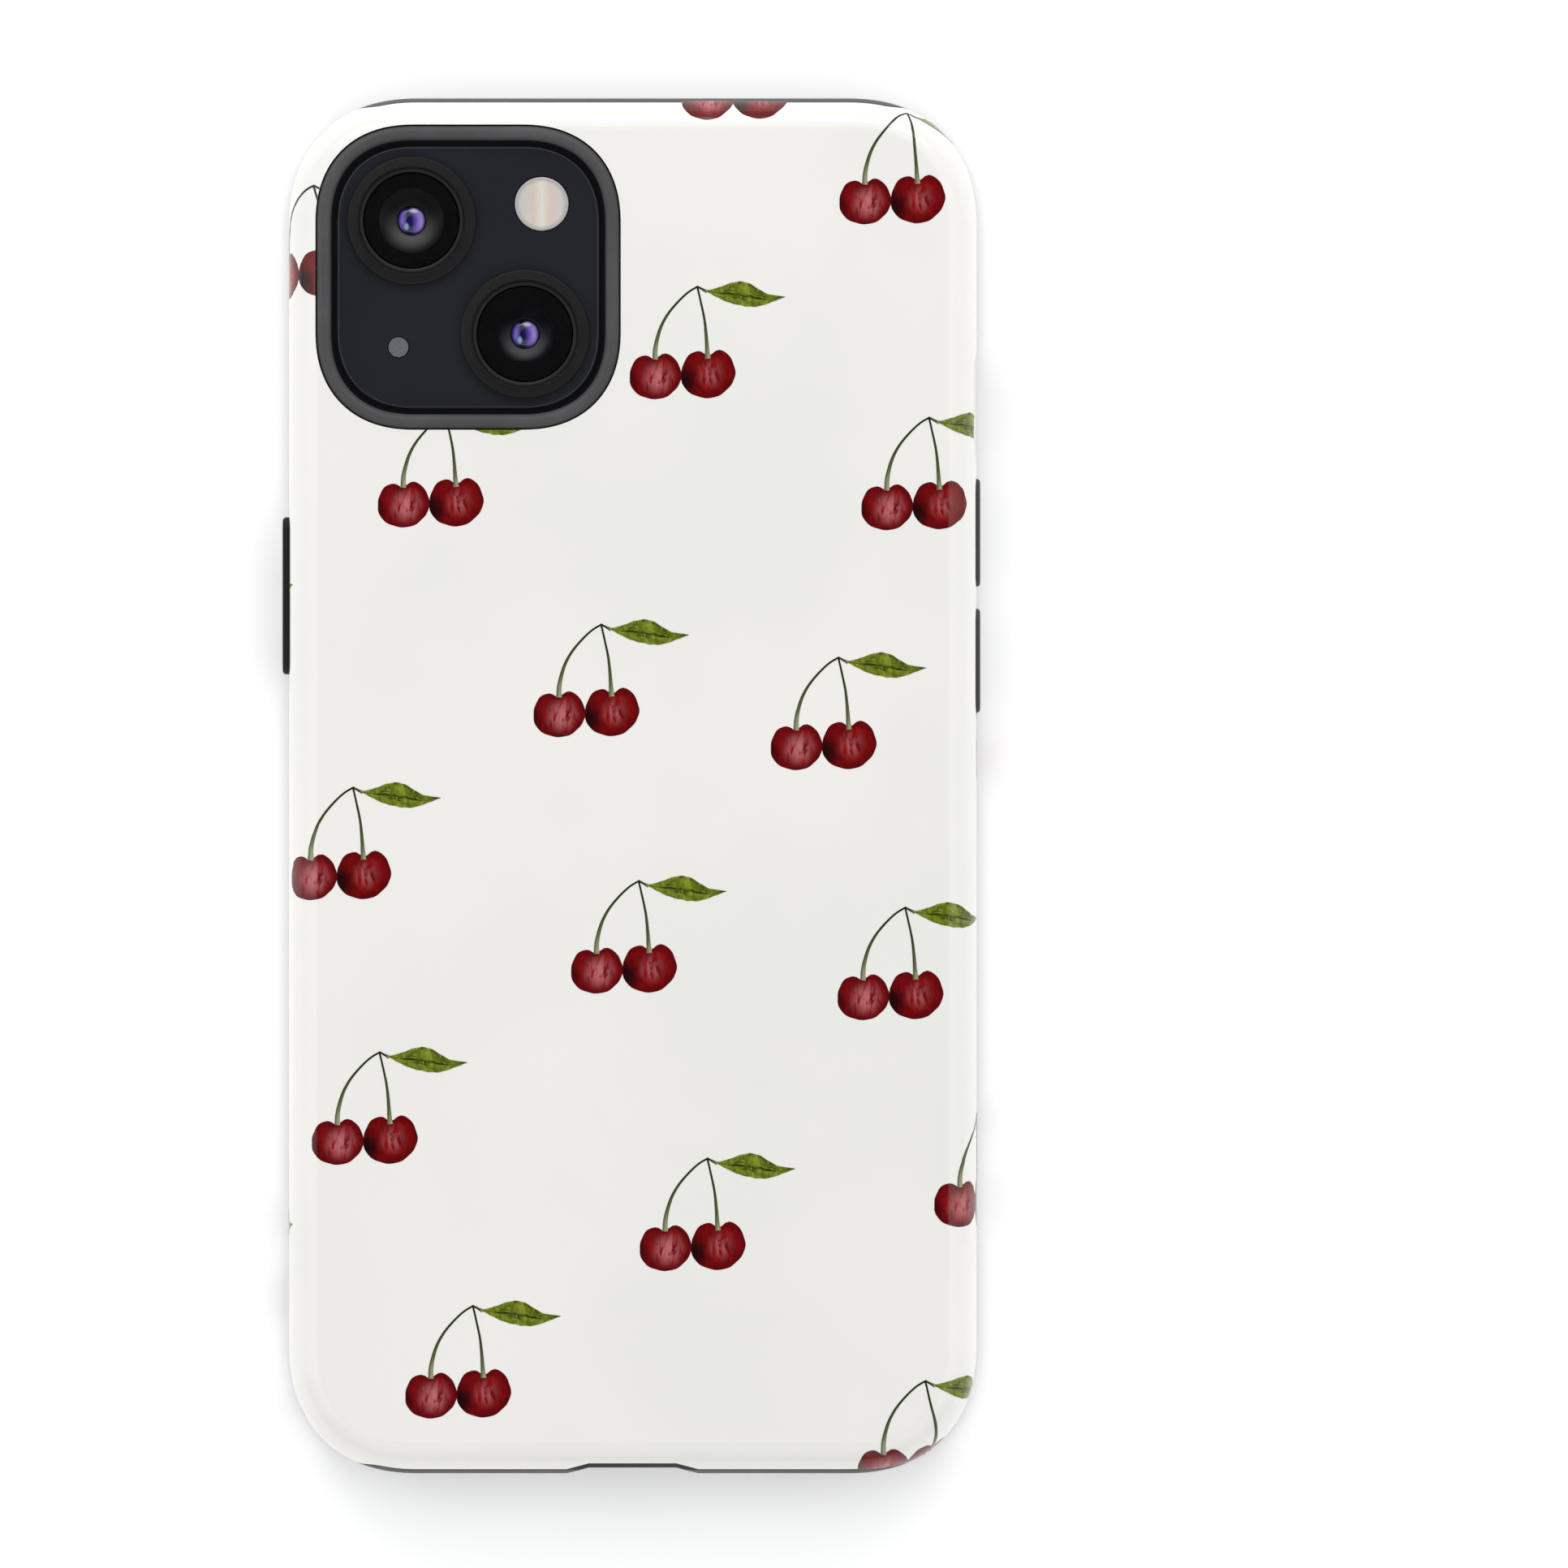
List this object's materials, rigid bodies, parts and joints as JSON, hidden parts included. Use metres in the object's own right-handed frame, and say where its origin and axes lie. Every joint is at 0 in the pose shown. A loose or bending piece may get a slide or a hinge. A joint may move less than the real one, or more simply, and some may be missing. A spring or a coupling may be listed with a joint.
{
  "type": "smartphone in a two-layer protective case",
  "caption": "Slab smartphone in a soft liner and a glossy off-white hard shell printed with cherry pairs, with covered side buttons and a framed camera corner",
  "frame": {"origin": "middle of the case's outline on the plane that the front lip rests on", "axes": "+Y to the phone's top end, along its length; +Z out of its back, through its thickness; +X to the side with the volume buttons, as seen with the back up and the top end away"},
  "size_m": [0.0763, 0.1504, 0.0109],
  "materials": {
    "shell_gloss": "glossy off-white moulding printed with cherry pairs",
    "liner_rubber": "satin dark grey elastomer",
    "pad_rubber": "satin grey elastomer",
    "band_metal": "dark anodised, satin",
    "back_glass": "opaque dark polished glass",
    "display_glass": "black polished cover glass over a display that is off",
    "lens_glass": "clear anti-reflection coated glass",
    "lens_coating": "violet coated optical glass",
    "black_plastic": "moulded black",
    "flash_diffuser": "milky diffusing window",
    "circuit_board": "dark blue-green solder mask",
    "steel": "stamped or turned steel",
    "copper": null,
    "magnet": "plated magnet segments",
    "battery_wrap": "black laminate foil over a pouch cell",
    "card_plastic": "white moulded"
  },
  "bodies": {
    "phone_in_case": {"aerial_strip_left_high": "black_plastic", "aerial_strip_left_low": "black_plastic", "aerial_strip_right_high": "black_plastic", "aerial_strip_right_low": "black_plastic", "back_glass": "back_glass", "band": "band_metal", "battery": "battery_wrap", "board_screw_1": "steel", "board_screw_2": "steel", "board_screw_3": "steel", "board_screw_4": "steel", "board_shield": "steel", "bottom_screw_left": "steel", "bottom_screw_right": "steel", "camera_plateau": "back_glass", "card_reader": "steel", "card_tray": "band_metal", "charging_coil": "copper", "charging_port": "steel", "display_glass": "display_glass", "display_panel": "black_plastic", "dock_board": "circuit_board", "earpiece_speaker": "black_plastic", "face_sensor": "black_plastic", "flash_lamp": "card_plastic", "flash_lens": "flash_diffuser", "front_camera": "black_plastic", "haptic_motor": "steel", "inner_liner": "liner_rubber", "logic_board": "circuit_board", "loudspeaker": "black_plastic", "magnet_ring": "magnet", "outer_shell": "shell_gloss", "power_switch": "steel", "rear_microphone": "steel", "ring_switch": "steel", "sim_card": "card_plastic", "sound_mesh_left": "black_plastic", "sound_mesh_right": "black_plastic", "ultrawide_camera_module": "black_plastic", "ultrawide_cover_glass": "lens_glass", "ultrawide_front_element": "lens_coating", "ultrawide_lens_barrel": "black_plastic", "ultrawide_lens_ring": "band_metal", "volume_down_switch": "steel", "volume_up_switch": "steel", "wide_camera_module": "black_plastic", "wide_cover_glass": "lens_glass", "wide_front_element": "lens_coating", "wide_lens_barrel": "black_plastic", "wide_lens_ring": "band_metal"},
    "power_button": {"power_key": "band_metal", "power_pad": "pad_rubber"},
    "volume_up_button": {"volume_up_key": "band_metal", "volume_up_pad": "pad_rubber"},
    "volume_down_button": {"volume_down_key": "band_metal", "volume_down_pad": "pad_rubber"},
    "silence_slider": {"ring_slider": "band_metal"}
  },
  "joints": [
    {"name": "power_press", "type": "slide", "parent": "phone_in_case", "child": "power_button", "axis": [1, 0, 0], "range_m": [0, 0.0003], "stiffness_N_per_m": 1500},
    {"name": "volume_up_press", "type": "slide", "parent": "phone_in_case", "child": "volume_up_button", "axis": [-1, 0, 0], "range_m": [0, 0.0003], "stiffness_N_per_m": 1500},
    {"name": "volume_down_press", "type": "slide", "parent": "phone_in_case", "child": "volume_down_button", "axis": [-1, 0, 0], "range_m": [0, 0.0003], "stiffness_N_per_m": 1500},
    {"name": "silence_slide", "type": "slide", "parent": "phone_in_case", "child": "silence_slider", "axis": [0, 0, 1], "range_m": [0, 0.00095]}
  ]
}
